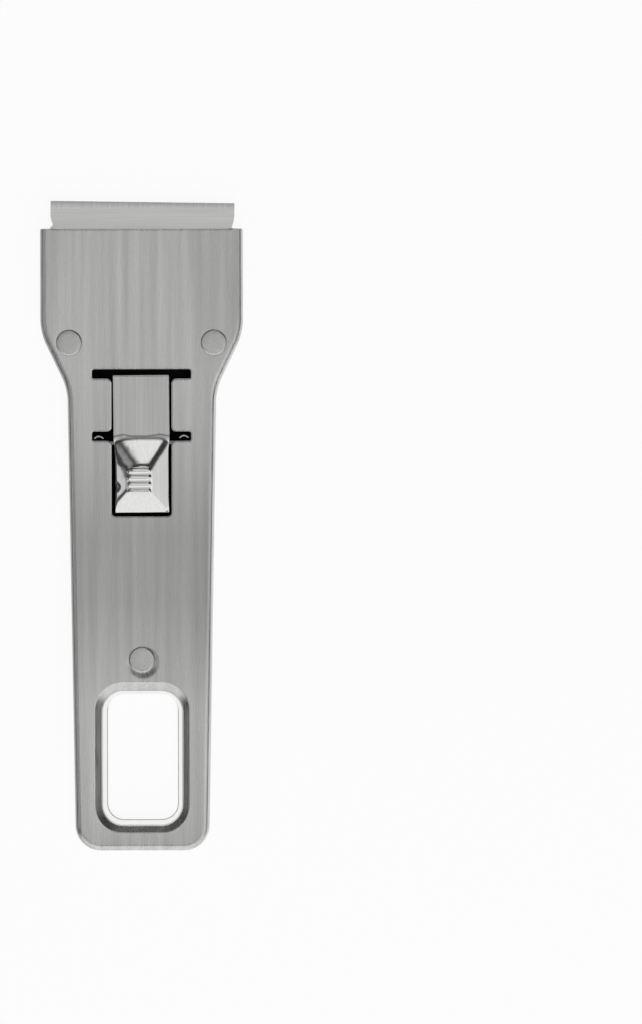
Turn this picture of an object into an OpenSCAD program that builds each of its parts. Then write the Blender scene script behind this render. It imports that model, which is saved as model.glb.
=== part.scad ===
// Scraper for glass ceramic hobs: two drawn steel shells, riveted together, with a sliding blade
// carrier between them. It lies on its back: X across, Y towards the blade, Z out of the face.
// Lengths are in millimetres.

/* [Body] */
// Length of the two shells, from the handle end to the mouth
body_l = 135; // [120:1:160]
// Thickness of the closed body
body_h = 4.6; // [4.4:0.1:6]
// Thickness of the shell sheet
sheet = 0.7; // [0.5:0.05:0.8]
// Outer radius of the bend along the shell edges
edge_r = 1.1; // [0.8:0.05:1.3]
// Height of the back shell's wall, up to the seam
seam_h = 1.6; // [1.4:0.1:2]
// Open seam between the two shells
seam_gap = 0.1; // [0.05:0.05:0.2]
// Depth of the lip turned down across the mouth, from the face
lip_h = 1.85; // [1:0.05:1.9]
// Bend radius of that lip
lip_r = 0.45; // [0.2:0.05:0.6]
// Distance of the lip's ends inside the blade's sides
lip_side = 0.8; // [0.2:0.1:2]

/* [Outline] */
// Length of the head's straight sides
head_l = 19.7; // [18:0.1:24]
// Width at the handle end
handle_w = 28.9; // [27:0.1:31]
// Angle by which each handle side spreads towards the head
handle_flare = 0.97; // [0:0.01:1.2]
// Radius of both bends of a shoulder
shoulder_r = 12; // [9:0.5:14]
// Steepest angle of a shoulder to the long axis
shoulder_a = 25.5; // [22:0.5:32]
// Radius of the two corners at the handle end
corner_r = 5.5; // [4:0.5:8]

/* [Finger hole] */
// Width of the drawn rim around the finger hole, at the face
rim_w = 20.6; // [18:0.1:22]
// Length of that rim
rim_l = 32.8; // [26:0.1:38]
// Corner radius of that rim
rim_r = 6.2; // [5:0.1:8]
// Face left between the rim and the handle end
rim_end = 3.9; // [3:0.1:6]
// Width of the rim's sloping band
bevel_w = 1.55; // [1:0.05:1.8]
// Depth of that band
bevel_h = 1.2; // [0.8:0.05:1.6]
// Further narrowing of the rim's wall down to the back shell
throat_draft = 0.5; // [0.2:0.05:0.7]
// Ledge of the back shell inside the rim, on each side
ledge_w = 0.6; // [0.3:0.05:0.8]

/* [Rivets] */
// Rivet shank diameter
shank_d = 3; // [2.5:0.1:3.4]
// Rivet head diameter
head_d = 5.6; // [5:0.1:6]
// Height of a rivet head above the face
head_h = 0.35; // [0.2:0.05:0.5]
// Outer diameter of the spacer sleeve around a rivet
spacer_d = 4.6; // [4.2:0.1:5]
// Depth of the recess in the back shell that takes a rivet's tail
tail_h = 0.35; // [0.2:0.05:0.4]
// Diametral clearance of a rivet in its holes
rivet_fit = 0.1; // [0.05:0.05:0.2]
// Distance of the head rivets from the head's sides
rivet_side = 6.3; // [6:0.1:7]
// Distance of the head rivets from the mouth
rivet_back = 24.7; // [24:0.1:26]
// Distance of the handle rivet from the finger hole's rim
rivet_rim = 4.8; // [4:0.1:12]

/* [Blade] */
// Width of the blade
blade_w = 40; // [36:0.5:46]
// Length of the blade, from its edge to its back
blade_l = 22; // [21:0.5:23]
// Thickness of the blade
blade_t = 0.3; // [0.2:0.05:0.35]
// Length of the ground bevel at the edge
grind_l = 1; // [0.6:0.1:1.5]
// Length of blade that stands out of the mouth
blade_out = 6; // [5.5:0.1:6.5]
// Straight length of the blade's sides, behind the edge
side_l = 2.7; // [2:0.1:3]
// Depth of the notch in each side
notch_w = 0.6; // [0.3:0.05:0.8]
// Distance of the notch from the edge
notch_l = 5.2; // [4:0.1:5.4]

/* [Slider] */
// Travel of the slider from the working place to the blade change place
travel = 13.5; // [11:0.5:14.5]
// Thickness of the blade carrier's sheet
carrier_t = 0.8; // [0.6:0.05:0.9]
// Width of the lips that hold the blade sideways
side_lip_w = 0.8; // [0.6:0.05:1]
// Thickness of the clamp plate over the blade
clamp_t = 0.5; // [0.4:0.05:0.5]
// Distance of the carrier's front edge behind the mouth
carrier_back = 1; // [0.6:0.1:2]
// Distance of the clamp plate's front edge behind the mouth
clamp_back = 2.4; // [2:0.1:4]
// Distance of the clamp plate's sides inside the blade's sides
clamp_side = 1.5; // [1:0.1:4]
// Length of the carrier's wide part behind the blade
wide_tail = 2.5; // [1:0.1:3]
// Length of the carrier's neck behind the thumb tongue's root
neck_tail = 5; // [3:0.5:8]
// Shank diameter of the rivets that join carrier and clamp plate
pin_d = 2.2; // [1.8:0.1:2.6]
// Head diameter of those rivets
pin_head_d = 4; // [3.4:0.1:4.4]
// Head height of those rivets
pin_head_h = 0.35; // [0.25:0.05:0.45]
// Distance between the centres of those rivets
pin_pitch = 12; // [9:0.5:14]
// Distance of those rivets behind the blade's back edge
pin_back = 7; // [5:0.5:8]
// Width of the clamp plate's foot beside those rivets' heads
foot_side = 1; // [0.5:0.1:1.5]

/* [Thumb tongue] */
// Width of the thumb tongue
tongue_w = 12.2; // [11:0.1:13]
// Thickness of the spring sheet
spring_t = 0.5; // [0.4:0.05:0.55]
// Distance of the rear locking slots from the mouth
slot_back = 45; // [43:0.5:48]
// Length of a locking slot across the body
slot_w = 21.5; // [20:0.1:23]
// Width of a locking slot along the body
slot_l = 2.05; // [1.8:0.05:2.4]
// Corner radius of the window and its slots
window_r = 0.5; // [0.2:0.05:0.8]
// Length of the thumb pad
pad_l = 16.6; // [15:0.1:19]
// Distance by which drawing the pad narrows the tongue on each side
pad_draw = 0.35; // [0:0.05:0.5]
// Height of the thumb pad over the tongue
pad_h = 2.1; // [1.2:0.1:3]
// Width of the pad's ribbed top
pad_top_w = 5; // [4:0.1:6]
// Length of the pad's ribbed top
pad_top_l = 6.7; // [6:0.1:8]
// Distance of the ribbed top from the pad's rear end
pad_top_rear = 4.4; // [3.5:0.1:5.5]
// Number of ribs on the pad
ribs = 4; // [2:1:5]
// Distance between ribs
rib_pitch = 1.5; // [1.3:0.05:1.6]
// Radius of a rib
rib_r = 0.45; // [0.3:0.05:0.6]
// Height of a rib over the pad's top
rib_h = 0.25; // [0.15:0.05:0.3]
// Width of the arm that carries a locking tab
arm_l = 1.6; // [1.2:0.1:2]
// Length of that arm that lies under the slot
arm_lap = 0.3; // [0.1:0.1:0.6]
// Width of a locking tab
tab_w = 2.1; // [1.5:0.1:2.6]
// Height of a locking tab over its arm
tab_h = 0.1; // [0.05:0.05:0.1]

/* [Clearances] */
// Under the carrier
floor_gap = 0.15; // [0.1:0.05:0.2]
// Over and under the blade
blade_gap = 0.05; // [0.03:0.01:0.06]
// Beside and behind the blade
blade_side_gap = 0.1; // [0.05:0.05:0.2]
// Beside the carrier, against the head's walls and the spacers
guide_gap = 0.4; // [0.3:0.05:0.5]
// Between the tongue and the underside of the face
tongue_gap = 0.2; // [0.15:0.05:0.3]
// Beside the tongue in its window
window_gap = 0.4; // [0.3:0.05:0.6]
// Between the tongue's front end and the window's front edge
front_gap = 1.1; // [0.8:0.1:1.5]
// Between the pad's rear end and the window's rear edge
rear_gap = 0.8; // [0.5:0.1:1.2]
// Between a locking tab and the end of its slot
tab_gap = 0.4; // [0.2:0.1:0.8]
// Between the halves of the tongue's root, where it bends
root_gap = 0.08; // [0.05:0.01:0.1]

/* [Hidden] */
$fn = 48;

arc_steps = 8;
edge_steps = 4;
over = 1;
skin = 0.01;
overall_l = body_l + blade_out;

// Heights, from the surface that the scraper lies on
face_under = body_h - sheet;
carrier_z = sheet + floor_gap;
blade_z = carrier_z + carrier_t + blade_gap;
clamp_z = blade_z + blade_t + blade_gap;
foot_z = carrier_z + carrier_t;
tongue_top = face_under - tongue_gap;
tongue_under = tongue_top - spring_t;
root_z = (foot_z + tongue_top) / 2;

// Places along the body, from the handle end
slot_y = body_l - slot_back;
window_front = slot_y + travel + slot_l / 2;
tongue_front = window_front - front_gap;
pad_front = slot_y;
pad_rear = pad_front - pad_l;
window_rear = pad_rear - rear_gap;
rim_y = rim_end + rim_l / 2;
rivet_head_y = body_l - rivet_back;
rivet_handle_y = rim_end + rim_l + rivet_rim;
blade_rear = body_l + blade_out - blade_l;
pin_y = blade_rear - pin_back;
neck_rear = tongue_front - spring_t - neck_tail;
wide_rear = blade_rear - wide_tail;

// Widths
carrier_w = blade_w + 2 * (blade_side_gap + side_lip_w);
head_w = carrier_w + 2 * (guide_gap + sheet);
rivet_x = head_w / 2 - rivet_side;
neck_w = 2 * (rivet_x - spacer_d / 2 - guide_gap);
foot_w = pin_pitch + pin_head_d + 2 * foot_side;
window_w = tongue_w + 2 * window_gap;
pad_w = tongue_w - 2 * pad_draw;

// Shoulder: two bends of the same radius joined by a straight stretch, whose length brings the
// lower bend onto the flared handle side
head_y = body_l - head_l;
rise = head_w / 2 - handle_w / 2 - shoulder_r * (1 + cos(handle_flare) - 2 * cos(shoulder_a));
run = head_y - shoulder_r * (2 * sin(shoulder_a) - sin(handle_flare));
straight = (rise - run * tan(handle_flare)) / (sin(shoulder_a) - tan(handle_flare) * cos(shoulder_a));
lower_y = run - straight * cos(shoulder_a);
lower_x = handle_w / 2 + lower_y * tan(handle_flare);
corner_x = handle_w / 2 + (corner_r * sin(handle_flare) - corner_r) / cos(handle_flare);

function arc(centre, r, from, to, steps) = [
    for (i = [0 : steps])
        let (a = from + (to - from) * i / steps)
            [centre[0] + r * cos(a), centre[1] + r * sin(a)]
];

// Right half of the body's outline, from the handle end to the mouth, drawn in by inset
function half_outline(inset, front) = concat(
    arc([corner_x, corner_r], corner_r - inset, -90, -handle_flare, arc_steps),
    arc([lower_x + shoulder_r * cos(handle_flare), lower_y - shoulder_r * sin(handle_flare)],
        shoulder_r + inset, 180 - handle_flare, 180 - shoulder_a, arc_steps),
    arc([head_w / 2 - shoulder_r, head_y], shoulder_r - inset, -shoulder_a, 0, arc_steps),
    [[head_w / 2 - inset, front]]
);

function reversed(points) = [for (i = [len(points) - 1 : -1 : 0]) points[i]];
function mirrored(points) = [for (p = reversed(points)) [-p[0], p[1]]];
function outline(inset, front) =
    concat(half_outline(inset, front), mirrored(half_outline(inset, front)));

// Solid between rings of the outline, each given as [inset, height], from the lowest up. Both caps
// are strips between the outline's right and left halves.
module lofted(rings) {
    count = len(outline(0, body_l));
    points = [for (ring = rings) for (p = outline(ring[0], body_l)) [p[0], p[1], ring[1]]];
    sides = [
        for (level = [0 : len(rings) - 2]) for (i = [0 : count - 1])
            let (j = (i + 1) % count, low = level * count, high = low + count)
                each [[low + i, high + j, low + j], [low + i, high + i, high + j]]
    ];
    last = (len(rings) - 1) * count;
    caps = [
        for (i = [0 : count / 2 - 2])
            let (a = i, b = i + 1, c = count - 2 - i, d = count - 1 - i)
                each [[a, b, c], [a, c, d], [last + c, last + b, last + a], [last + d, last + c, last + a]]
    ];
    polyhedron(points, concat(caps, sides), convexity = 6);
}

// Slab with the body's outline, from height 0 to h, whose upper edge is bent over
module bent_slab(h) {
    lofted(concat(
        [[0, 0]],
        [for (i = [0 : edge_steps])
            let (a = 90 * i / edge_steps)
                [edge_r * (1 - cos(a)), h - edge_r * (1 - sin(a))]]
    ));
}

// Drawn pan, open below and at the mouth, whose face is at height h
module pan(h) {
    difference() {
        bent_slab(h);
        translate([0, 0, -over])
            linear_extrude(h - sheet + over)
                polygon(outline(sheet, body_l + over));
    }
}

module rounded_rect(w, l, r) {
    square([w - 2 * r, l], center = true);
    square([w, l - 2 * r], center = true);
    for (x = [-1, 1], y = [-1, 1])
        translate([x * (w / 2 - r), y * (l / 2 - r)])
            circle(r);
}

// Outline of the finger hole, drawn in from its rim
module hole_outline(inset) {
    rounded_rect(rim_w - 2 * inset, rim_l - 2 * inset, rim_r - inset);
}

// Tapering plug between two such outlines, each given as [inset, height]
module hole_plug(low, high) {
    hull() {
        for (end = [low, high])
            translate([0, rim_y, end[1]])
                linear_extrude(skin)
                    hole_outline(end[0], $fn = 32);
    }
}

// Space inside the drawn rim, grown outwards by wall
module hole_funnel(wall, top_z) {
    hole_plug([bevel_w - wall, body_h - bevel_h], [-wall, top_z]);
    hole_plug([bevel_w + throat_draft - wall, sheet], [bevel_w - wall, body_h - bevel_h]);
}

module at_rivets() {
    for (place = [[-rivet_x, rivet_head_y], [rivet_x, rivet_head_y], [0, rivet_handle_y]])
        translate([place[0], place[1], 0])
            children();
}

module window_outline() {
    translate([0, (window_front + window_rear) / 2])
        rounded_rect(window_w, window_front - window_rear, window_r);
    for (y = [slot_y, slot_y + travel])
        translate([0, y])
            rounded_rect(slot_w, slot_l, window_r);
}

// Lip turned down across the mouth, with its bend
module mouth_lip() {
    lip_w = blade_w - 2 * lip_side;
    translate([-lip_w / 2, body_l - sheet, body_h - lip_h])
        cube([lip_w, sheet, lip_h - lip_r]);
}

module mouth_bend() {
    translate([0, body_l - lip_r, body_h - lip_r])
        rotate([0, 90, 0])
            difference() {
                translate([-2 * lip_r, 0, -head_w / 2 - over])
                    cube([2 * lip_r, 2 * lip_r, head_w + 2 * over]);
                translate([0, 0, -head_w / 2 - 2 * over])
                    cylinder(r = lip_r, h = head_w + 4 * over);
            }
}

module from_handle_end() {
    translate([0, -overall_l / 2, 0])
        children();
}

module front_shell() {
    color("#a8a8a6")
        from_handle_end()
            difference() {
                union() {
                    translate([0, 0, seam_h + seam_gap])
                        pan(body_h - seam_h - seam_gap);
                    mouth_lip();
                    intersection() {
                        hole_funnel(sheet, body_h);
                        translate([0, rim_y, sheet])
                            linear_extrude(body_h - sheet - skin)
                                square([2 * rim_w, 2 * rim_l], center = true);
                    }
                }
                hole_funnel(0, body_h + skin);
                mouth_bend();
                translate([0, 0, face_under - over])
                    linear_extrude(sheet + 2 * over)
                        window_outline();
                at_rivets()
                    cylinder(d = shank_d + rivet_fit, h = body_h + over);
            }
}

module back_shell() {
    color("#9c9c9a")
        from_handle_end()
            difference() {
                translate([0, 0, seam_h])
                    mirror([0, 0, 1])
                        pan(seam_h);
                translate([0, rim_y, -over])
                    linear_extrude(sheet + 2 * over)
                        hole_outline(bevel_w + throat_draft + ledge_w);
                at_rivets() {
                    translate([0, 0, -over])
                        cylinder(d = shank_d + rivet_fit, h = body_h);
                    translate([0, 0, -over])
                        cylinder(d = head_d + rivet_fit, h = tail_h + over);
                }
            }
}

// Flat headed rivet through both shells, with its tail set flush in the back
module body_rivet(x, y) {
    edge = head_h / 3;
    color("#b4b4b2")
        from_handle_end()
            translate([x, y, 0])
                rotate_extrude()
                    polygon([
                        [0, 0], [head_d / 2, 0], [head_d / 2, tail_h], [shank_d / 2, tail_h],
                        [shank_d / 2, body_h], [head_d / 2, body_h],
                        [head_d / 2, body_h + head_h - edge],
                        [head_d / 2 - edge, body_h + head_h], [0, body_h + head_h]
                    ]);
}

// Sleeve that keeps the shells apart where a rivet pulls them together
module spacer(x, y) {
    color("#8c8c8a")
        from_handle_end()
            translate([x, y, sheet])
                difference() {
                    cylinder(d = spacer_d, h = face_under - sheet);
                    translate([0, 0, -over])
                        cylinder(d = shank_d + rivet_fit, h = body_h + over);
                }
}

module at_pins() {
    for (x = [-pin_pitch / 2, pin_pitch / 2])
        translate([x, pin_y, 0])
            children();
}

// Lower jaw: a wide plate under the blade, with side lips and a neck between the spacers
module blade_carrier() {
    wide_front = body_l - carrier_back;
    color("#b0b0ae")
        from_handle_end()
            difference() {
                union() {
                    translate([-carrier_w / 2, wide_rear, carrier_z])
                        cube([carrier_w, wide_front - wide_rear, carrier_t]);
                    translate([-neck_w / 2, neck_rear, carrier_z])
                        cube([neck_w, wide_rear - neck_rear + over, carrier_t]);
                    for (side = [-1, 1])
                        translate([side * (carrier_w - side_lip_w) / 2 - side_lip_w / 2, wide_rear, carrier_z])
                            cube([side_lip_w, wide_front - wide_rear, carrier_t + blade_gap + blade_t]);
                }
                at_pins() {
                    cylinder(d = pin_d + rivet_fit, h = body_h);
                    cylinder(d = pin_head_d + rivet_fit, h = carrier_z + pin_head_h);
                }
            }
}

// Upper jaw: a plate over the blade, stepped down behind it to the carrier, with the fixed half of
// the thumb tongue's root standing up at its rear end
module clamp_plate() {
    clamp_w = blade_w - 2 * clamp_side;
    color("#c0c0be")
        from_handle_end()
            difference() {
                union() {
                    translate([-clamp_w / 2, blade_rear - blade_side_gap - clamp_t, clamp_z])
                        cube([clamp_w, body_l - clamp_back - blade_rear + blade_side_gap + clamp_t, clamp_t]);
                    translate([-foot_w / 2, blade_rear - blade_side_gap - clamp_t, foot_z])
                        cube([foot_w, clamp_t, clamp_z + clamp_t - foot_z]);
                    translate([-foot_w / 2, tongue_front - spring_t, foot_z])
                        cube([foot_w, blade_rear - blade_side_gap - tongue_front + spring_t, clamp_t]);
                    translate([-tongue_w / 2, tongue_front - spring_t, foot_z])
                        cube([tongue_w, spring_t, root_z - root_gap / 2 - foot_z]);
                }
                at_pins()
                    cylinder(d = pin_d + rivet_fit, h = body_h);
            }
}

// Rivet that joins the two jaws, with its tail flush in the carrier
module carrier_rivet(x) {
    color("#b4b4b2")
        from_handle_end()
            translate([x, pin_y, 0])
                rotate_extrude()
                    polygon([
                        [0, carrier_z], [pin_head_d / 2, carrier_z],
                        [pin_head_d / 2, carrier_z + pin_head_h], [pin_d / 2, carrier_z + pin_head_h],
                        [pin_d / 2, foot_z + clamp_t], [pin_head_d / 2, foot_z + clamp_t],
                        [pin_head_d / 2, foot_z + clamp_t + pin_head_h], [0, foot_z + clamp_t + pin_head_h]
                    ]);
}

// Raised thumb pad between two rectangles, drawn in all round by inset
module pad_hump(inset, z_low, z_high) {
    hull() {
        translate([0, (pad_front + pad_rear) / 2, z_low])
            linear_extrude(skin)
                square([pad_w - 2 * inset, pad_l - 2 * inset], center = true);
        translate([0, pad_rear + pad_top_rear + pad_top_l / 2, z_high - skin])
            linear_extrude(skin)
                square([pad_top_w - inset, pad_top_l - inset], center = true);
    }
}

// Spring tongue with the thumb pad and the two locking tabs
module thumb_tongue() {
    rib_mid = pad_rear + pad_top_rear + pad_top_l / 2;
    arm_y = slot_y - slot_l / 2 - arm_l + arm_lap;
    arm_end = slot_w / 2 - tab_gap;
    color("#c8c8c6")
        from_handle_end() {
            difference() {
                union() {
                    translate([-tongue_w / 2, pad_front, tongue_under])
                        cube([tongue_w, tongue_front - pad_front, spring_t]);
                    translate([-pad_w / 2, pad_rear, tongue_under])
                        cube([pad_w, pad_l + over, spring_t]);
                    pad_hump(0, tongue_top - skin, tongue_top + pad_h);
                }
                pad_hump(spring_t, tongue_under - skin, tongue_top + pad_h - spring_t);
            }
            translate([-tongue_w / 2, tongue_front - spring_t, root_z + root_gap / 2])
                cube([tongue_w, spring_t, tongue_top - root_z - root_gap / 2]);
            for (i = [0 : ribs - 1])
                translate([0, rib_mid + (i - (ribs - 1) / 2) * rib_pitch, tongue_top + pad_h + rib_h - rib_r])
                    rotate([0, 90, 0])
                        cylinder(r = rib_r, h = pad_top_w - 2 * rib_r, center = true);
            translate([-arm_end, arm_y, tongue_under])
                cube([2 * arm_end, arm_l, spring_t]);
            for (side = [-1, 1])
                translate([side * (arm_end - tab_w / 2) - tab_w / 2, arm_y + arm_l / 2, tongue_under])
                    cube([tab_w, arm_l, spring_t + tab_h]);
        }
}

// Plan of the blade: square at the edge, with a curved waist that ends in a sharp notch each side
module blade_plan() {
    half = blade_w / 2;
    edge_y = body_l + blade_out;
    waist = notch_l - side_l;
    waist_r = (waist * waist + notch_w * notch_w) / (2 * notch_w);
    waist_a = asin(waist / waist_r);
    right = concat(
        [[half, blade_rear], [half, edge_y - notch_l - notch_w]],
        arc([half - waist_r, edge_y - side_l], waist_r, -waist_a, 0, arc_steps),
        [[half, edge_y]]
    );
    polygon(concat(right, mirrored(right)));
}

module blade() {
    edge_y = body_l + blade_out;
    color("#d0d0d0")
        from_handle_end()
            intersection() {
                translate([0, 0, blade_z])
                    linear_extrude(blade_t)
                        blade_plan();
                rotate([90, 0, 90])
                    linear_extrude(blade_w + 2 * over, center = true)
                        polygon([
                            [blade_rear - over, blade_z - over], [edge_y - grind_l, blade_z - over],
                            [edge_y - grind_l, blade_z], [edge_y, blade_z + blade_t / 2],
                            [edge_y - grind_l, blade_z + blade_t], [edge_y - grind_l, blade_z + over],
                            [blade_rear - over, blade_z + over]
                        ]);
            }
}

front_shell();
back_shell();
body_rivet(-rivet_x, rivet_head_y);  // rivet_left
body_rivet(rivet_x, rivet_head_y);  // rivet_right
body_rivet(0, rivet_handle_y);  // rivet_handle
spacer(-rivet_x, rivet_head_y);  // spacer_left
spacer(rivet_x, rivet_head_y);  // spacer_right
spacer(0, rivet_handle_y);  // spacer_handle
blade_carrier();
clamp_plate();
carrier_rivet(-pin_pitch / 2);  // carrier_rivet_left
carrier_rivet(pin_pitch / 2);  // carrier_rivet_right
thumb_tongue();
blade();
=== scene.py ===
"""Looks for a flat steel scraper for glass ceramic hobs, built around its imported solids."""
import math

import bmesh
import bpy
from mathutils import Matrix, Vector


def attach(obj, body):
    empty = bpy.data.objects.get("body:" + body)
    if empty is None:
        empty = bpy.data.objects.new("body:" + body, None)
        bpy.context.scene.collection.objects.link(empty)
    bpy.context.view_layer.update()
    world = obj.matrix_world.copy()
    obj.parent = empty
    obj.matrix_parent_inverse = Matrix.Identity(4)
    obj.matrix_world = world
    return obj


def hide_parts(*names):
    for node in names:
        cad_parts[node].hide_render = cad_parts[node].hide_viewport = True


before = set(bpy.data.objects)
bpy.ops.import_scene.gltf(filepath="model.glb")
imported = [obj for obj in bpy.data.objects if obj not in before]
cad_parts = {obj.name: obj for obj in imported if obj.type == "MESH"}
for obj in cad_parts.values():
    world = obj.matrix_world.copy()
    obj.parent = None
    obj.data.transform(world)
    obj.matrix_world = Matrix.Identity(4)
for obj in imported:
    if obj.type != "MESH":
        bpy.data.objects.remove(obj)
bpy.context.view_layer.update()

# Body, in millimetres, with Y from the handle end. Its angles are in radians
OVERALL = 141.0
BODY_L, BODY_H, SHEET = 135.0, 4.6, 0.7
FACE_BEND, BACK_BEND = 1.4, 1.1
SEAM_LOW, SEAM_HIGH = 1.6, 1.7
HEAD_HALF, HEAD_Y = 22.0, 115.3
HANDLE_HALF, FLARE = 14.45, math.radians(0.97)
SHOULDER_R, SHOULDER_A = 12.0, math.radians(25.5)
CORNER_R = 5.5
# Lip turned down across the mouth
LIP_H, LIP_R, LIP_HALF = 1.85, 0.45, 19.2

# Finger hole: the rim drawn into the face, whose slopes are in degrees, and the back shell's ledge
RIM_W, RIM_L, RIM_R, RIM_Y = 20.6, 32.8, 6.2, 20.3
RIM_ENTRY, RIM_ENTRY_BEND, RIM_SLOPE, RIM_BAND = 0.1, 0.4, 38, 1.05
THROAT_BEND, THROAT_SLOPE = 1.6, 70
# The throat's top end leans in by a distance that is reached some way along and some way down
THROAT_LEAN, LEAN_ALONG, LEAN_DOWN, LEAN_FROM = 0.35, 10.0, 0.6, 1.0
OPENING_W, OPENING_L, OPENING_R, OPENING_Y, LEDGE = 15.3, 27.3, 3.55, 20.2, 1.2

RIVETS = {"left": (-15.7, 110.3), "right": (15.7, 110.3), "handle": (0.0, 41.5)}
RIVET_R, RIVET_HEAD, RIVET_TAIL, SHANK_R = 2.8, 0.35, 0.35, 1.5
HEAD_CHAMFER, HEAD_CHAMFER_A, HEAD_CROWN, HEAD_SEAT = 0.2, math.radians(48), 0.03, 0.45
# Dip of the face round each rivet: how far off its middle is in X and Y, its reach and its depth
DIPS = {"left": (0, 0, 3.15, 0.08), "right": (0, 0, 3.15, 0.08), "handle": (0.2, -0.7, 3.8, 0.28)}
DIP_FLOOR_R, DIP_RINGS = 1.8, 7

# Window and its two pairs of side slots
SLOT_Y, TRAVEL, SLOT_W, SLOT_L = 90.0, 13.5, 21.5, 2.05
WINDOW_HALF, WINDOW_REAR = 6.5, 72.6
WINDOW_INNER_R, SLOT_END_R, WINDOW_REAR_R = 1.0, 0.5, 0.9
WINDOW_ROLL_R, WINDOW_ROLL_A = 2.0, 13

# Spring tongue, whose drawn thumb pad has its top a little off its middle
TONGUE_HALF, TONGUE_FRONT, TONGUE_TOP, SPRING_T, ROOT_Z = 6.1, 103.425, 3.7, 0.5, 2.715
PAD_HALF, PAD_REAR, PAD_FRONT, PAD_H = 5.85, 73.4, 90.0, 2.1
PAD_TOP_LEFT, PAD_TOP_RIGHT, PAD_TOP_REAR, PAD_TOP_FRONT = -3.1, 2.2, 77.8, 83.6
PAD_FOOT_LEFT, PAD_FOOT_RIGHT = PAD_HALF + 1.05, PAD_HALF - 0.05
PAD_FOOT_REAR, PAD_FOOT_FRONT = PAD_REAR - 0.6, PAD_FRONT - 0.7
# Softness of the creases between the pad's facets, round its top and at its foot
PAD_CREASE, PAD_TOP_CREASE, PAD_FOOT_CREASE = 0.3, 0.08, 0.08
# Softness of the crease between its front and sides, which is more on the left than on the right
HIP_CREASE, HIP_SHIFT, HIP_SHIFT_W = 0.58, 0.2, 1.5
# Crown of its rear facet, and how far the left one is turned down along the window
REAR_CROWN, LEFT_TURN, LEFT_TURN_W = 0.012, 0.6, 0.6
# Dents that the pad has kept from its drawing: X, Y, radius and depth
PAD_DENTS = [(-5.7, 79.0, 0.8, 0.4), (-4.5, 83.6, 1.1, -0.05)]
# Low step before the pad: half its height, its length, and how far, where and how wide it waves
PAD_STEP, PAD_STEP_L = 0.03, 0.12
STEP_WAVE, STEP_WAVE_X, STEP_WAVE_W = 0.35, 3.9, 1.3
# How far behind its front the pad's drawing begins to narrow the tongue, and how softly
NARROWED, NARROWED_L = 1.6, 0.45
RIBS, RIB_PITCH, RIB_MIDDLE = 4, 1.5, 80.25
RIB_RISE, RIB_HALF, RIB_END_R, RIB_INSET = 0.14, 0.72, 0.85, 0.8
GRID_STEP = 0.11
ARM_L = 0.75
TAB_R, TAB_T, TAB_HALF_A = 1.15, 0.36, 57

BLADE_HALF, BLADE_REAR, BLADE_Z, BLADE_T, GRIND = 20.0, 119.0, 1.7, 0.3, 1.5
# How far behind its edge the blade's side curves in and is notched, how deep, and the edge's width
BLADE_SIDE, NOTCH_Y, NOTCH, EDGE_T = 2.7, 5.2, 0.6, 0.04

# How the tongue and the blade sit askew: the Y that each turns about, and by how many degrees
TONGUE_SKEW, BLADE_SKEW = (84.0, 0.5), (128.0, -0.85)

# Points closer than this, in millimetres, are one point
TOUCH = 1e-4
# Millimetres in a metre. A pattern's scale is its grains in a millimetre times this
PER_METRE = 1000.0
# From these millimetres to the row's metres and origin
INTO_ROW = Matrix.Diagonal((0.001, 0.001, 0.001, 1.0)) @ Matrix.Translation((0, -OVERALL / 2, 0))

# Noise seldom leaves these levels, so a finish runs from its dark to its light between them
NOISE_LOW, NOISE_HIGH = 0.3, 0.7


# Materials
def srgb(code):
    """A hex colour as linear red, green, blue and alpha."""
    parts = [int(code[i:i + 2], 16) / 255 for i in (1, 3, 5)]
    return [c / 12.92 if c <= 0.04045 else ((c + 0.055) / 1.055) ** 2.4 for c in parts] + [1.0]


def add(tree, kind, settings=None, **sockets):
    """A node with its settings and links. A socket is given a value or another node's output. The
    setting stops holds a colour ramp's (place, colour) pairs, each colour a hex code or a level."""
    node = tree.nodes.new(kind)
    for key, value in (settings or {}).items():
        if key == "stops":
            band = node.color_ramp
            while len(band.elements) < len(value):
                band.elements.new(1.0)
            for element, (at, colour) in zip(band.elements, value):
                element.position = at
                element.color = srgb(colour) if isinstance(colour, str) else [colour] * 3 + [1.0]
        else:
            setattr(node, key, value)
    for key, value in sockets.items():
        socket = node.inputs[int(key[1:]) if key[1:].isdigit() else key.replace("_", " ")]
        if isinstance(value, bpy.types.NodeSocket):
            tree.links.new(value, socket)
        else:
            socket.default_value = value
    return node


def new_material(name):
    """An empty metal material: its tree, its shader and its Object coordinates."""
    material = bpy.data.materials.new(name)
    material.use_nodes = True
    tree = material.node_tree
    shader = tree.nodes["Principled BSDF"]
    shader.inputs["Metallic"].default_value = 1.0
    place = add(tree, "ShaderNodeTexCoord").outputs["Object"]
    return material, tree, shader, place


def streaks(tree, place, across_mm, along_mm, axis="Y", detail=2.0):
    """Noise drawn out along an axis, with its grain in millimetres. Real scratches are finer than
    the picture shows, so they are drawn as coarse as they need to be seen."""
    across, along = PER_METRE / across_mm, PER_METRE / along_mm
    scale = (along if axis == "X" else across, along if axis == "Y" else across, across)
    mapped = add(tree, "ShaderNodeMapping", Vector=place, Scale=scale)
    return add(tree, "ShaderNodeTexNoise", Vector=mapped.outputs["Vector"],
               Scale=1.0, Detail=detail, Roughness=0.6).outputs["Fac"]


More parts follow.
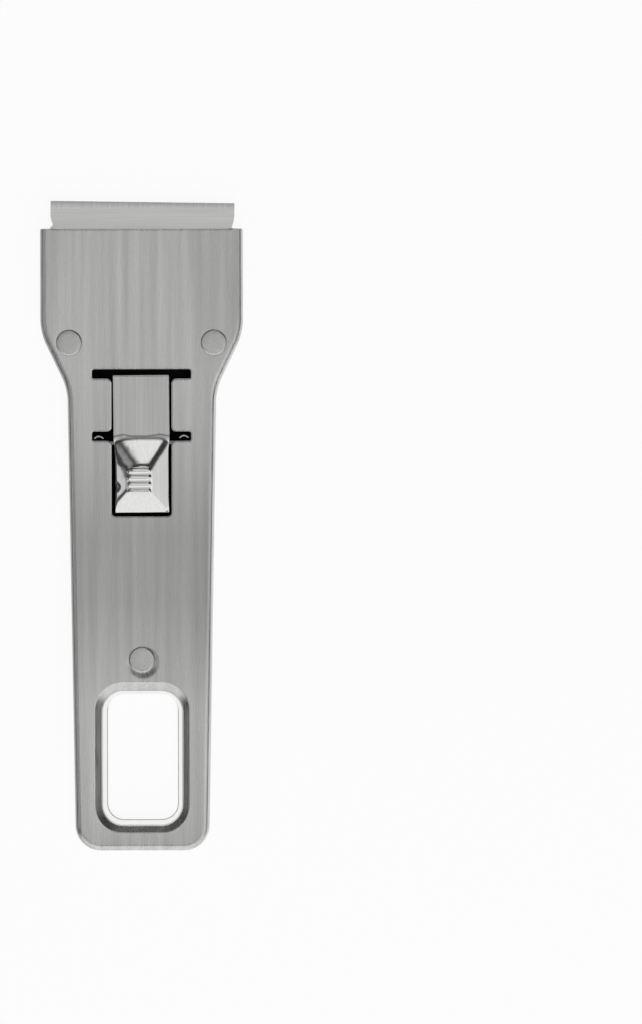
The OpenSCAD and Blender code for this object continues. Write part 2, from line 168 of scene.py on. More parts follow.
def brushed_sheet(name, dark, light, roughness, axis="Y", painted_shade=()):
    """Rolled stainless sheet, brushed in one direction: fine parallel scratches, which also make
    faint tone streaks some millimetres apart. The last argument holds, for an axis, (place in mm,
    level) stops of painted shade over the flat face, which darken it where the face reflects less
    light."""
    material, tree, shader, place = new_material(name)
    fine = streaks(tree, place, 0.22, 9, axis)
    broad = streaks(tree, place, 2.2, 70, axis, 1.0)
    both = add(tree, "ShaderNodeMix", {"data_type": "FLOAT"}, _0=0.4, _2=fine, _3=broad).outputs[0]
    colour = add(tree, "ShaderNodeValToRGB", {"stops": ((NOISE_LOW, dark), (NOISE_HIGH, light))},
                 Fac=both).outputs["Color"]
    if painted_shade:
        axes = add(tree, "ShaderNodeSeparateXYZ", Vector=place).outputs
        flat = add(tree, "ShaderNodeMapRange", Value=axes["Z"],
                   From_Min=(BODY_H - 0.15) / PER_METRE, From_Max=(BODY_H - 0.02) / PER_METRE)
    # Painted shade: each axis's levels multiply the flat face's colour
    for way, stops in painted_shade:
        low, high = stops[0][0], stops[-1][0]
        along = add(tree, "ShaderNodeMapRange", Value=axes[way],
                    From_Min=low / PER_METRE, From_Max=high / PER_METRE)
        levels = [((at - low) / (high - low), level) for at, level in stops]
        shade = add(tree, "ShaderNodeValToRGB", {"stops": levels}, Fac=along.outputs[0])
        colour = add(tree, "ShaderNodeMix", {"data_type": "RGBA", "blend_type": "MULTIPLY"},
                     _0=flat.outputs[0], _6=colour, _7=shade.outputs["Color"]).outputs[2]
    tree.links.new(colour, shader.inputs["Base Color"])
    rough = add(tree, "ShaderNodeMapRange", Value=fine, From_Min=NOISE_LOW, From_Max=NOISE_HIGH,
                To_Min=roughness - 0.05, To_Max=roughness + 0.06)
    tree.links.new(rough.outputs[0], shader.inputs["Roughness"])
    bump = add(tree, "ShaderNodeBump", Strength=0.25, Distance=0.02 / PER_METRE, Height=fine)
    tree.links.new(bump.outputs[0], shader.inputs["Normal"])
    return material


def tumbled_steel(name, dark, light, roughness):
    """Headed stainless rivet, tumbled dull: a fine even grain, drawn at 0.24 mm so that it shows,
    with a few soft dents of more than a millimetre."""
    material, tree, shader, place = new_material(name)
    grain = add(tree, "ShaderNodeTexNoise", Vector=place, Scale=4.2 * PER_METRE, Detail=3.0)
    dents = add(tree, "ShaderNodeTexNoise", Vector=place, Scale=0.8 * PER_METRE, Detail=2.0)
    colour = add(tree, "ShaderNodeValToRGB", {"stops": ((NOISE_LOW, dark), (NOISE_HIGH, light))},
                 Fac=grain.outputs["Fac"])
    tree.links.new(colour.outputs["Color"], shader.inputs["Base Color"])
    shader.inputs["Roughness"].default_value = roughness
    low = add(tree, "ShaderNodeBump", Strength=0.4, Distance=0.12 / PER_METRE,
              Height=dents.outputs["Fac"])
    high = add(tree, "ShaderNodeBump", Strength=0.35, Distance=0.04 / PER_METRE,
               Height=grain.outputs["Fac"], Normal=low.outputs[0])
    tree.links.new(high.outputs[0], shader.inputs["Normal"])
    return material


def spring_steel(name):
    """Hard rolled spring stainless: brushed on the flat tongue, and polished bright where the thumb
    pad was drawn, with faint waves left by the drawing."""
    material, tree, shader, place = new_material(name)
    y = add(tree, "ShaderNodeSeparateXYZ", Vector=place).outputs["Y"]
    pad_end = PAD_FOOT_FRONT - OVERALL / 2
    tongue = add(tree, "ShaderNodeMapRange", {"interpolation_type": "SMOOTHSTEP"}, Value=y,
                 From_Min=(pad_end - 0.5) / PER_METRE,
                 From_Max=(pad_end + 0.4) / PER_METRE).outputs[0]
    fine = streaks(tree, place, 0.32, 28)
    brushed = add(tree, "ShaderNodeValToRGB",
                  {"stops": ((NOISE_LOW, "#c4c4c3"), (NOISE_HIGH, "#d6d5d4"))}, Fac=fine)
    polished = add(tree, "ShaderNodeValToRGB",
                   {"stops": ((NOISE_LOW, "#dededd"), (NOISE_HIGH, "#e6e6e5"))}, Fac=fine)
    colour = add(tree, "ShaderNodeMix", {"data_type": "RGBA"}, _0=tongue,
                 _6=polished.outputs["Color"], _7=brushed.outputs["Color"])
    tree.links.new(colour.outputs[2], shader.inputs["Base Color"])
    rough = add(tree, "ShaderNodeMapRange", Value=tongue, To_Min=0.15, To_Max=0.33)
    tree.links.new(rough.outputs[0], shader.inputs["Roughness"])
    waves = add(tree, "ShaderNodeTexNoise", Vector=place, Scale=0.42 * PER_METRE, Detail=1.0)
    bump = add(tree, "ShaderNodeBump", Strength=0.3, Distance=0.12 / PER_METRE,
               Height=waves.outputs["Fac"])
    tree.links.new(bump.outputs[0], shader.inputs["Normal"])
    return material


def blade_steel(name):
    """Rolled carbon steel strip, smooth and a little lighter than the body, with an edge ground
    across its length, which leaves fine scratches."""
    material, tree, shader, place = new_material(name)
    y = add(tree, "ShaderNodeSeparateXYZ", Vector=place).outputs["Y"]
    start = OVERALL / 2 - GRIND
    ground = add(tree, "ShaderNodeMapRange", Value=y,
                 From_Min=(start - 0.1) / PER_METRE, From_Max=start / PER_METRE)
    rolled = streaks(tree, place, 0.3, 14, "X")
    scratches = streaks(tree, place, 0.25, 6.0)
    plain = add(tree, "ShaderNodeValToRGB",
                {"stops": ((NOISE_LOW, "#e2e2e1"), (NOISE_HIGH, "#ececeb"))}, Fac=rolled)
    cut = add(tree, "ShaderNodeValToRGB",
              {"stops": ((NOISE_LOW, "#e6e6e5"), (NOISE_HIGH, "#f6f6f5"))}, Fac=scratches)
    colour = add(tree, "ShaderNodeMix", {"data_type": "RGBA"}, _0=ground.outputs[0],
                 _6=plain.outputs["Color"], _7=cut.outputs["Color"])
    tree.links.new(colour.outputs[2], shader.inputs["Base Color"])
    shader.inputs["Roughness"].default_value = 0.34
    bump = add(tree, "ShaderNodeBump", Strength=0.15, Distance=0.02 / PER_METRE, Height=rolled)
    tree.links.new(bump.outputs[0], shader.inputs["Normal"])
    return material


# Painted shade over the face, as levels at millimetres from the middle of the scraper: darker along
# the handle towards the window, at the handle end and towards the right side
FACE_PAINTED_SHADE = [
    ("X", [(-22, 0.93), (-12, 1.0), (-4, 1.0), (6, 0.98), (14, 0.9), (22, 0.9)]),
    ("Y", [(-70.5, 0.92), (-62, 1.0), (-40, 1.0), (-28, 0.86), (-16, 0.74), (-3, 0.73), (14, 0.9),
           (32, 1.0)]),
]
face_steel = brushed_sheet("stainless sheet, brushed lengthwise", "#b4b4b3", "#e2e2e1", 0.3,
                           painted_shade=FACE_PAINTED_SHADE)
back_steel = brushed_sheet("stainless sheet, brushed back", "#b8b8b7", "#c8c8c6", 0.33)
ironed_steel = brushed_sheet("stainless sheet, ironed by the punch", "#ececeb", "#f4f4f3", 0.16)
# Painted shade: the shells' inner sides are near black for the shade inside the closed body
inner_painted_shade = brushed_sheet("stainless sheet inner side, near-black painted shade", "#0e0e0e", "#161616", 0.6)
# Painted shade: the carrier, clamp and locking arms are near black for the shade under the face
jaw_painted_shade = brushed_sheet("steel strip, near-black painted shade", "#0e0e0e", "#161616", 0.55, "X")
tube_steel = brushed_sheet("turned steel tube", "#8e8e8c", "#a0a09e", 0.4)
rivet_steel = tumbled_steel("tumbled stainless rivet", "#bababa", "#dededc", 0.35)
tongue_steel = spring_steel("spring stainless, brushed and drawn")
edge_steel = blade_steel("rolled carbon steel, ground edge")


# Shapes
def only(kind, geom):
    """The elements of one kind among an operator's results."""
    return [g for g in geom if isinstance(g, kind)]


def rounded_face(bm, corners, z, segments):
    """A flat face with its corners rounded. Each corner is (x, y, radius)."""
    others = set(bm.faces)
    verts = [bm.verts.new((x, y, z)) for x, y, _ in corners]
    bm.faces.new(verts)
    count = len(corners)
    for i, (vert, (_, _, radius)) in enumerate(zip(verts, corners)):
        if radius:
            before = Vector(corners[i - 1][:2]) - Vector(corners[i][:2])
            after = Vector(corners[(i + 1) % count][:2]) - Vector(corners[i][:2])
            reach = radius / math.tan(before.angle(after) / 2)
            bmesh.ops.bevel(bm, geom=[vert], offset=reach, offset_type="OFFSET", segments=segments,
                            profile=0.5, affect="VERTICES", material=-1)
    bm.normal_update()
    return next(f for f in bm.faces if f not in others)


def mirrored(right):
    """Corners down the right side, then the same up the left side."""
    return right + [(-x, y, r) for x, y, r in reversed(right)]


def body_corners():
    """Corners of the body's outline, from the handle end's right corner round to its left one."""
    slope, lean = math.tan(FLARE), math.tan(SHOULDER_A)
    upper_y = HEAD_Y - SHOULDER_R * math.tan(SHOULDER_A / 2)
    lower_y = (HANDLE_HALF - HEAD_HALF + upper_y * lean) / (lean - slope)
    return mirrored([(HANDLE_HALF, 0, CORNER_R),
                     (HANDLE_HALF + lower_y * slope, lower_y, SHOULDER_R),
                     (HEAD_HALF, upper_y, SHOULDER_R), (HEAD_HALF, BODY_L, 0)])


def rect_corners(width, length, radius, middle_y, grow):
    """Corners of a rounded rectangle on the centreline, grown outwards all round."""
    return [(sx * (width / 2 + grow), middle_y + sy * (length / 2 + grow), radius + grow)
            for sx, sy in ((1, -1), (1, 1), (-1, 1), (-1, -1))]


def window_corners(grow):
    """Corners of the window with its two pairs of side slots, grown outwards all round."""
    inner, outer = WINDOW_INNER_R - grow, SLOT_END_R + grow
    window_x, slot_x = WINDOW_HALF + grow, SLOT_W / 2 + grow
    right = [(window_x, WINDOW_REAR - grow, WINDOW_REAR_R + grow)]
    for middle in (SLOT_Y, SLOT_Y + TRAVEL):
        low, high = middle - SLOT_L / 2 - grow, middle + SLOT_L / 2 + grow
        right += [(window_x, low, inner), (slot_x, low, outer), (slot_x, high, outer)]
        if middle == SLOT_Y:
            right.append((window_x, high, inner))
    return mirrored(right)


def circle_face(bm, x, y, radius, z):
    """A round flat face."""
    made = bmesh.ops.create_circle(bm, cap_ends=True, radius=radius, segments=48,
                                   matrix=Matrix.Translation((x, y, z)))
    return made["verts"][0].link_faces[0]


def sink(bm, face, steps, ironed=None):
    """Rings from a flat face inwards, each (width, drop) from the one before, of which those from
    the ironed one on get the third material. Returns the floor."""
    for i, (width, drop) in enumerate(steps):
        made = bmesh.ops.inset_region(bm, faces=[face], thickness=width, depth=-drop,
                                      use_boundary=True, use_even_offset=True)["faces"]
        if ironed is not None and i >= ironed:
            for ring in made:
                ring.material_index = 2
    return face


def bend_steps(radius, from_angle, to_angle, count):
    """Width and drop of each step round a bend, whose slopes are in degrees."""
    angles = [math.radians(from_angle + (to_angle - from_angle) * i / count)
              for i in range(count + 1)]
    return [(radius * (math.sin(b) - math.sin(a)), radius * (math.cos(a) - math.cos(b)))
            for a, b in zip(angles, angles[1:])]


def rim_steps():
    """Steps of the finger hole's rim and throat, and the number of the first that is ironed."""
    steep = math.tan(math.radians(THROAT_SLOPE))
    steps = bend_steps(RIM_ENTRY_BEND, 0, RIM_SLOPE, 3)
    steps.append((RIM_BAND, RIM_BAND * math.tan(math.radians(RIM_SLOPE))))
    steps += bend_steps(THROAT_BEND, RIM_SLOPE, THROAT_SLOPE, 6)
    rest = BODY_H - SHEET - sum(drop for _, drop in steps)
    return steps + [(rest / steep, rest)], len(steps)


def dip_steps(reach, depth):
    """Steps of a shallow round dip, soft at its brim and at its floor."""
    falls = [depth * (1 - math.cos(math.pi * i / DIP_RINGS)) / 2 for i in range(DIP_RINGS + 1)]
    return [((reach - DIP_FLOOR_R) / DIP_RINGS, b - a) for a, b in zip(falls, falls[1:])]


def lean_throat(bm):
    """Leans the top end of the finger hole's throat in, as the punch has left it."""
    start_z = BODY_H - LEAN_FROM
    for v in bm.verts:
        if v.co.z < start_z and RIM_Y < v.co.y < RIM_Y + RIM_L / 2:
            along = min((v.co.y - RIM_Y) / LEAN_ALONG, 1)
            v.co.y -= THROAT_LEAN * along * min((start_z - v.co.z) / LEAN_DOWN, 1)


def in_mouth(edge):
    """Whether an edge lies along the mouth of the body."""
    return all(abs(v.co.y - BODY_L) < TOUCH for v in edge.verts)


def pan_skin(bm, cap_z, wall_z, bend):
    """Outer skin of a shell: a flat cap bent over into a wall all round but at the mouth. Returns
    the edges round the cap, which is left open."""
    cap = rounded_face(bm, body_corners(), cap_z, 10)
    rim = [e for e in cap.edges if not in_mouth(e)]
    made = bmesh.ops.extrude_edge_only(bm, edges=rim)["geom"]
    bmesh.ops.translate(bm, vec=(0, 0, wall_z - cap_z), verts=only(bmesh.types.BMVert, made))
    bmesh.ops.bevel(bm, geom=rim, offset=bend, offset_type="OFFSET", segments=8, profile=0.5,
                    affect="EDGES", material=-1)
    cap = max(bm.faces, key=lambda f: f.calc_area())
    edges = cap.edges[:]
    bmesh.ops.delete(bm, geom=[cap], context="FACES_ONLY")
    return edges


def fill_between(bm, edges, up):
    """Fills a flat cap between its outline and its openings."""
    bmesh.ops.triangle_fill(bm, use_beauty=True, edges=edges, normal=(0, 0, up))


def finish_mesh(bm, name, body, replaced, material, up=None, wall=0.0, edge=0.0, ironed=None):
    """Makes the piece in the row's frame. up gives the way a thin skin's highest or lowest face
    looks, wall its thickness, edge the rounding of its sharp edges and ironed the material of the
    faces that were marked for it, on both sides of the sheet."""
    bmesh.ops.remove_doubles(bm, verts=bm.verts, dist=TOUCH)
    bmesh.ops.recalc_face_normals(bm, faces=bm.faces)
    if up is not None:
        bm.normal_update()
        flat = max(bm.faces, key=lambda f: f.calc_area())
        if flat.normal.z * up < 0:
            bmesh.ops.reverse_faces(bm, faces=bm.faces)
    bmesh.ops.transform(bm, matrix=INTO_ROW, verts=bm.verts)
    for f in bm.faces:
        f.smooth = True
    mesh = bpy.data.meshes.new(name)
    bm.to_mesh(mesh)
    bm.free()
    piece = bpy.data.objects.new(name, mesh)
    bpy.context.scene.collection.objects.link(piece)
    mesh.materials.append(material)
    if wall:
        # The inner side of a shell takes the near-black painted shade
        mesh.materials.append(inner_painted_shade if ironed else material)
        thick = piece.modifiers.new("wall", "SOLIDIFY")
        thick.material_offset = 1
        thick.thickness, thick.offset, thick.use_even_offset = wall / PER_METRE, -1, True
    if ironed:
        mesh.materials.append(ironed)
        mesh.materials.append(ironed)
    if edge:
        soft = piece.modifiers.new("edge", "BEVEL")
        soft.width, soft.segments, soft.limit_method = edge / PER_METRE, 2, "ANGLE"
        soft.angle_limit = math.radians(40)
    weigh = piece.modifiers.new("normals", "WEIGHTED_NORMAL")
    weigh.keep_sharp, weigh.weight = True, 80
    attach(piece, body)
    if replaced:
        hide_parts(*replaced)


def face_shell():
    """Front shell: the face, its bent sides, the window with its rolled edge, the finger hole's
    drawn wall, a dip round each rivet and the lip turned down across the mouth."""
    bm = bmesh.new()
    loop = pan_skin(bm, BODY_H, SEAM_HIGH, FACE_BEND)
    front = next(e for e in loop if in_mouth(e))
    left, right = sorted(front.verts, key=lambda v: v.co.x)
    loop = [e for e in loop if e != front]
    bm.edges.remove(front)
    lip_y = BODY_L - LIP_R
    notch = [bm.verts.new((x, y, BODY_H)) for x, y in (
        (-LIP_HALF, BODY_L), (-LIP_HALF, lip_y), (LIP_HALF, lip_y), (LIP_HALF, BODY_L))]
    chain = [left] + notch + [right]
    loop += [bm.edges.new(pair) for pair in zip(chain, chain[1:])]
    lip = loop[-3]

    roll = bend_steps(WINDOW_ROLL_R, 0, WINDOW_ROLL_A, 3)
    window = rounded_face(bm, window_corners(sum(width for width, _ in roll)), BODY_H, 6)
    rim = rounded_face(bm, rect_corners(RIM_W, RIM_L, RIM_R, RIM_Y, RIM_ENTRY), BODY_H, 14)
    drawn = [(window, roll, None), (rim, *rim_steps())]
    for name, (off_x, off_y, reach, depth) in DIPS.items():
        x, y = RIVETS[name]
        dip = circle_face(bm, x + off_x, y + off_y, reach, BODY_H)
        drawn.append((dip, dip_steps(reach, depth), None))
    loop += [e for face, _, _ in drawn for e in face.edges]
    fill_between(bm, loop, 1)
    for face, steps, ironed in drawn:
        bm.faces.remove(sink(bm, face, steps, ironed))
    lean_throat(bm)

    made = bmesh.ops.spin(bm, geom=[lip], cent=(0, lip_y, BODY_H - LIP_R), axis=(-1, 0, 0),
                          angle=math.pi / 2, steps=5)["geom_last"]
    made = bmesh.ops.extrude_edge_only(bm, edges=only(bmesh.types.BMEdge, made))["geom"]
    bmesh.ops.translate(bm, vec=(0, 0, LIP_R - LIP_H), verts=only(bmesh.types.BMVert, made))
    finish_mesh(bm, "face_shell", "body", ["front_shell"], face_steel,
                up=1, wall=SHEET, edge=0.08, ironed=ironed_steel)


def back_shell():
    """Back shell: a shallower pan that closes the body, with the bright ledge inside the finger
    hole and a recess for each rivet's tail."""
    bm = bmesh.new()
    loop = pan_skin(bm, 0, SEAM_LOW, BACK_BEND)
    hole = rounded_face(bm, rect_corners(OPENING_W, OPENING_L, OPENING_R, OPENING_Y, LEDGE), 0, 10)
    loop += hole.edges[:]
    for x, y in RIVETS.values():
        disc = circle_face(bm, x, y, RIVET_R + 0.05, 0)
        loop += disc.edges[:]
        bm.faces.remove(disc)
    fill_between(bm, loop, -1)
    bm.faces.remove(sink(bm, hole, [(LEDGE, 0)], 0))
    finish_mesh(bm, "back_pan", "body", ["back_shell"], back_steel,
                up=-1, wall=SHEET, edge=0.08, ironed=back_steel)


def rivet(name, x, y):
    """Flat rivet head with a softly rolled edge, its shank, and its flush tail in the back."""
    bm = bmesh.new()
    top, seat = BODY_H + RIVET_HEAD, BODY_H - HEAD_SEAT
    shoulder = RIVET_R - 0.03
    shoulder_z = top - HEAD_CHAMFER * math.tan(HEAD_CHAMFER_A)
    profile = [(0, 0), (RIVET_R - 0.2, 0), (RIVET_R - 0.1, 0), (RIVET_R, 0.1),
               (RIVET_R, RIVET_TAIL), (SHANK_R, RIVET_TAIL), (SHANK_R, seat), (RIVET_R, seat),
               (RIVET_R, shoulder_z - 0.04), (shoulder, shoulder_z),
               (shoulder - HEAD_CHAMFER, top), (shoulder - HEAD_CHAMFER - 0.08, top + 0.01),
               (RIVET_R * 0.5, top + HEAD_CROWN), (0, top + HEAD_CROWN)]
    verts = [bm.verts.new((x + r, y, z)) for r, z in profile]
    edges = [bm.edges.new(pair) for pair in zip(verts, verts[1:])]
    bmesh.ops.spin(bm, geom=verts + edges, cent=(x, y, 0), axis=(0, 0, 1),
                   angle=2 * math.pi, steps=64, use_merge=True)
    finish_mesh(bm, "rivet_head_" + name, "body", ["rivet_" + name], rivet_steel)


def soft_min(softness, *heights):
    """The lowest of some heights, with the crease between them rounded."""
    low = min(heights)
    return low - softness * math.log(sum(math.exp((low - h) / softness) for h in heights))


def pad_facets(x, y):
    """Height of the pad's front, rear and side facets, of which the left one is turned down along
    the window, with the softer crease on the left, under a nearly flat top."""
    front = (PAD_FOOT_FRONT - y) * PAD_H / (PAD_FOOT_FRONT - PAD_TOP_FRONT)
    rear = (y - PAD_FOOT_REAR) * PAD_H / (PAD_TOP_REAR - PAD_FOOT_REAR) - REAR_CROWN * x * x
    foot, top = (PAD_FOOT_LEFT, PAD_TOP_LEFT) if x < 0 else (PAD_FOOT_RIGHT, PAD_TOP_RIGHT)
    turned_down = LEFT_TURN * max(-x - PAD_HALF + LEFT_TURN_W, 0) ** 2
    side = (foot - abs(x)) * PAD_H / (foot - abs(top)) - turned_down
    hip = HIP_CREASE - HIP_SHIFT * math.tanh(x / HIP_SHIFT_W)
    slopes = soft_min(PAD_CREASE, soft_min(hip, front, side), rear)
    return soft_min(PAD_TOP_CREASE, slopes + 0.1, PAD_H + 0.03)


def pad_height(x, y):
    """Height of the drawn thumb pad over the flat tongue: soft facets with their dents, a foot that
    flows into the tongue, a low wavy step before it, and ribs across the top."""
    height = pad_facets(x, y)
    for dent_x, dent_y, radius, depth in PAD_DENTS:
        height -= depth * math.exp(-((x - dent_x) ** 2 + (y - dent_y) ** 2) / radius ** 2)
    height = PAD_FOOT_CREASE * math.log(1 + math.exp(height / PAD_FOOT_CREASE))
    shoulder = PAD_FRONT + STEP_WAVE * math.exp(-((abs(x) - STEP_WAVE_X) / STEP_WAVE_W) ** 2)
    height += PAD_STEP * (1 - math.tanh((y - shoulder) / PAD_STEP_L))
    beyond = max(x - PAD_TOP_RIGHT + RIB_INSET, PAD_TOP_LEFT + RIB_INSET - x, 0)
    for i in range(RIBS):
        along = y - RIB_MIDDLE - (i - (RIBS - 1) / 2) * RIB_PITCH
        off = min(math.hypot(along / RIB_HALF, beyond / RIB_END_R), 1)
        height += RIB_RISE * (1 + math.cos(math.pi * off ** 1.5))
    return height


def turn_askew(bm, skew):
    """Turns a piece a little in its seat, as a clamped strip sits."""
    middle_y, degrees = skew
    turned = Matrix.Rotation(math.radians(degrees), 3, "Z")
    bmesh.ops.rotate(bm, cent=(0, middle_y, 0), matrix=turned, verts=bm.verts)


def thumb_tongue():
    """Spring tongue with its drawn pad, which has narrowed it, bent down at the root."""
    bm = bmesh.new()
    bend_y = TONGUE_FRONT - SPRING_T
    length = bend_y - PAD_REAR
    bmesh.ops.create_grid(bm, x_segments=round(2 * TONGUE_HALF / GRID_STEP),
                          y_segments=round(length / GRID_STEP), size=0.5)
    bmesh.ops.scale(bm, vec=(2 * TONGUE_HALF, length, 1), verts=bm.verts)
    bmesh.ops.translate(bm, vec=(0, PAD_REAR + length / 2, TONGUE_TOP), verts=bm.verts)
    for v in bm.verts:
        drawn = 1 / (1 + math.exp((v.co.y - PAD_FRONT + NARROWED) / NARROWED_L))
        v.co.x *= 1 - drawn * (1 - PAD_HALF / TONGUE_HALF)
        if v.co.y < PAD_FRONT + 1:
            v.co.z += pad_height(v.co.x, v.co.y)
    front = [e for e in bm.edges if all(v.co.y > bend_y - TOUCH for v in e.verts)]
    made = bmesh.ops.spin(bm, geom=front, cent=(0, bend_y, TONGUE_TOP - SPRING_T), axis=(-1, 0, 0),
                          angle=math.pi / 2, steps=5)["geom_last"]
    made = bmesh.ops.extrude_edge_only(bm, edges=only(bmesh.types.BMEdge, made))["geom"]
    bmesh.ops.translate(bm, vec=(0, 0, ROOT_Z - TONGUE_TOP + SPRING_T),
                        verts=only(bmesh.types.BMVert, made))
    turn_askew(bm, TONGUE_SKEW)
    finish_mesh(bm, "sprung_tongue", "thumb", ["thumb_tongue"], tongue_steel,
                up=1, wall=SPRING_T - 0.02, edge=0.05)


def both_sides(bm):
    """Copies everything to the other side of the centreline, and turns it all with the tongue."""
    copy = bmesh.ops.duplicate(bm, geom=bm.verts[:] + bm.edges[:] + bm.faces[:])["geom"]
    bmesh.ops.scale(bm, vec=(-1, 1, 1), verts=only(bmesh.types.BMVert, copy))
    turn_askew(bm, TONGUE_SKEW)


def arm_roots():
    """The bright stretches of the arms, between the pad's sides and the face."""
    bm = bmesh.new()
    bmesh.ops.create_cube(bm, size=1)
    inner, outer = PAD_HALF - 0.6, WINDOW_HALF + 0.8
    middle = ((inner + outer) / 2, SLOT_Y - (SLOT_L + ARM_L) / 2, TONGUE_TOP - SPRING_T / 2)
    bmesh.ops.scale(bm, vec=(outer - inner, ARM_L, SPRING_T), verts=bm.verts)
    bmesh.ops.translate(bm, vec=middle, verts=bm.verts)
    both_sides(bm)
    finish_mesh(bm, "arm_roots", "thumb", [], tube_steel, edge=0.12)


def locking_arms():
    """The two arms that run under the face to the rear slots, near black with painted shadow."""
    bm = bmesh.new()
    slot_rear = SLOT_Y - SLOT_L / 2
    low, high = slot_rear - ARM_L, slot_rear + 0.6
    inner, reach = WINDOW_HALF + 0.3, SLOT_W / 2 - 0.5
    foot = reach - 1.9
    corners = [(inner, low, 0), (reach, low, 0.4), (reach, high, 0.4), (foot, high, 0.4),
               (foot, slot_rear, 0.2), (inner, slot_rear, 0)]
    rounded_face(bm, corners, TONGUE_TOP - SPRING_T - 0.2, 5)
    made = bmesh.ops.extrude_face_region(bm, geom=bm.faces[:])["geom"]
    bmesh.ops.translate(bm, vec=(0, 0, SPRING_T), verts=only(bmesh.types.BMVert, made))
    both_sides(bm)
    finish_mesh(bm, "locking_arms", "thumb", [], jaw_painted_shade, edge=0.08)


def locking_tabs():
    """The arched tips of the arms, which stand up in the rear slots, in the tongue's bright steel
    against the painted shadow of the arms.
    """
    bm = bmesh.new()
    x, y = SLOT_W / 2 - 1.5, SLOT_Y - 1.1
    low, high = TONGUE_TOP - 0.4, BODY_H - 0.35
    inner, outer = TAB_R - TAB_T / 2, TAB_R + TAB_T / 2
    start = math.radians(90 - TAB_HALF_A)
    face = bm.faces.new([bm.verts.new((x + r * math.cos(start), y + r * math.sin(start), z))
                         for r, z in ((inner, low), (outer, low), (outer, high), (inner, high))])
    bmesh.ops.spin(bm, geom=[face], cent=(x, y, 0), axis=(0, 0, 1),
                   angle=math.radians(2 * TAB_HALF_A), steps=14)
    both_sides(bm)
    finish_mesh(bm, "locking_tabs", "thumb", [], tongue_steel, edge=0.1)


def ground_blade():
    """Replaceable blade: waisted sides with a sharp notch, and an edge ground from both faces."""
    bm = bmesh.new()
    front, middle_z = OVERALL - GRIND, BLADE_Z + BLADE_T / 2
    waist = NOTCH_Y - BLADE_SIDE
    radius = (waist * waist + NOTCH * NOTCH) / (2 * NOTCH)
    sweep, steps = math.asin(waist / radius), 12
    right = [(BLADE_HALF, BLADE_REAR), (BLADE_HALF, OVERALL - NOTCH_Y - NOTCH)]
    for i in range(steps + 1):
        a = -sweep * (1 - i / steps)
        right.append((BLADE_HALF - radius + radius * math.cos(a),
                      OVERALL - BLADE_SIDE + radius * math.sin(a)))
    right.append((BLADE_HALF, front))
    points = right + [(-x, y) for x, y in reversed(right)]
    face = bm.faces.new([bm.verts.new((x, y, BLADE_Z)) for x, y in points])
    made = bmesh.ops.extrude_face_region(bm, geom=[face])["geom"]
    bmesh.ops.translate(bm, vec=(0, 0, BLADE_T), verts=only(bmesh.types.BMVert, made))
    bm.normal_update()
    nose = [f for f in bm.faces if all(abs(v.co.y - front) < TOUCH for v in f.verts)]
    tips = only(bmesh.types.BMVert, bmesh.ops.extrude_face_region(bm, geom=nose)["geom"])
    bmesh.ops.delete(bm, geom=nose, context="FACES_ONLY")
    bmesh.ops.translate(bm, vec=(0, GRIND, 0), verts=tips)
    for v in tips:
        v.co.z = middle_z + (EDGE_T / 2 if v.co.z > middle_z else -EDGE_T / 2)
    turn_askew(bm, BLADE_SKEW)
    finish_mesh(bm, "ground_blade", "blade", ["blade"], edge_steel, edge=0.02)


face_shell()
back_shell()
for rivet_name, (rivet_x, rivet_y) in RIVETS.items():
    rivet(rivet_name, rivet_x, rivet_y)
thumb_tongue()
arm_roots()
locking_arms()
locking_tabs()
ground_blade()

# The carrier and clamp under the face take the near-black painted shade
CAD_LOOKS = {
    jaw_painted_shade: ("blade_carrier", "clamp_plate"),
    rivet_steel: ("carrier_rivet_left", "carrier_rivet_right"),
    tube_steel: ("spacer_left", "spacer_right", "spacer_handle"),
}
for look, names in CAD_LOOKS.items():
    for node_name in names:
        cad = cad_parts[node_name]
        cad.data.materials.clear()
        cad.data.materials.append(look)


# Stage, light and camera
FLOOR_HALF, FLOOR_DROP = 2.5, 0.0001
# The share of the floor's light that is glow to the camera, where the rest keeps the shadow
FLOOR_GLOW = 0.92
# Flag towards the left: from where to where it fades, in metres, and its level
FLAG_FROM, FLAG_TO, FLAG_LEVEL = -0.012, -0.024, 0.6


def floor_material():
    """White seamless paper: white to the camera and in reflections, where a flag dims it towards
    the left, and it keeps a soft shadow."""
    material = bpy.data.materials.new("white seamless paper")
    material.use_nodes = True
    tree = material.node_tree
    tree.nodes.clear()
    rays = add(tree, "ShaderNodeLightPath").outputs
    place = add(tree, "ShaderNodeTexCoord").outputs["Object"]
    across = add(tree, "ShaderNodeSeparateXYZ", Vector=place).outputs["X"]
    seen = add(tree, "ShaderNodeMath", {"operation": "MULTIPLY"},
               _0=rays["Is Camera Ray"], _1=FLOOR_GLOW)
    share = add(tree, "ShaderNodeMath", {"operation": "MAXIMUM"},
                _0=seen.outputs[0], _1=rays["Is Glossy Ray"])
    flag = add(tree, "ShaderNodeMapRange", Value=across, From_Min=FLAG_TO, From_Max=FLAG_FROM,
               To_Min=FLAG_LEVEL, To_Max=1.0)
    bright = add(tree, "ShaderNodeMath", {"operation": "MAXIMUM"},
                 _0=flag.outputs[0], _1=rays["Is Camera Ray"])
    paper = add(tree, "ShaderNodeBsdfDiffuse", Color=srgb("#f2f2f2"))
    glow = add(tree, "ShaderNodeEmission", Color=srgb("#ffffff"), Strength=bright.outputs[0])
    mixed = add(tree, "ShaderNodeMixShader",
                _0=share.outputs[0], _1=paper.outputs[0], _2=glow.outputs[0])
    add(tree, "ShaderNodeOutputMaterial", Surface=mixed.outputs[0])
    return material


bm = bmesh.new()
bmesh.ops.create_grid(bm, x_segments=1, y_segments=1, size=FLOOR_HALF)
bmesh.ops.translate(bm, vec=(0, 0, -FLOOR_DROP), verts=bm.verts)
floor_mesh = bpy.data.meshes.new("floor")
bm.to_mesh(floor_mesh)
bm.free()
floor = bpy.data.objects.new("floor", floor_mesh)
bpy.context.scene.collection.objects.link(floor)
floor_mesh.materials.append(floor_material())

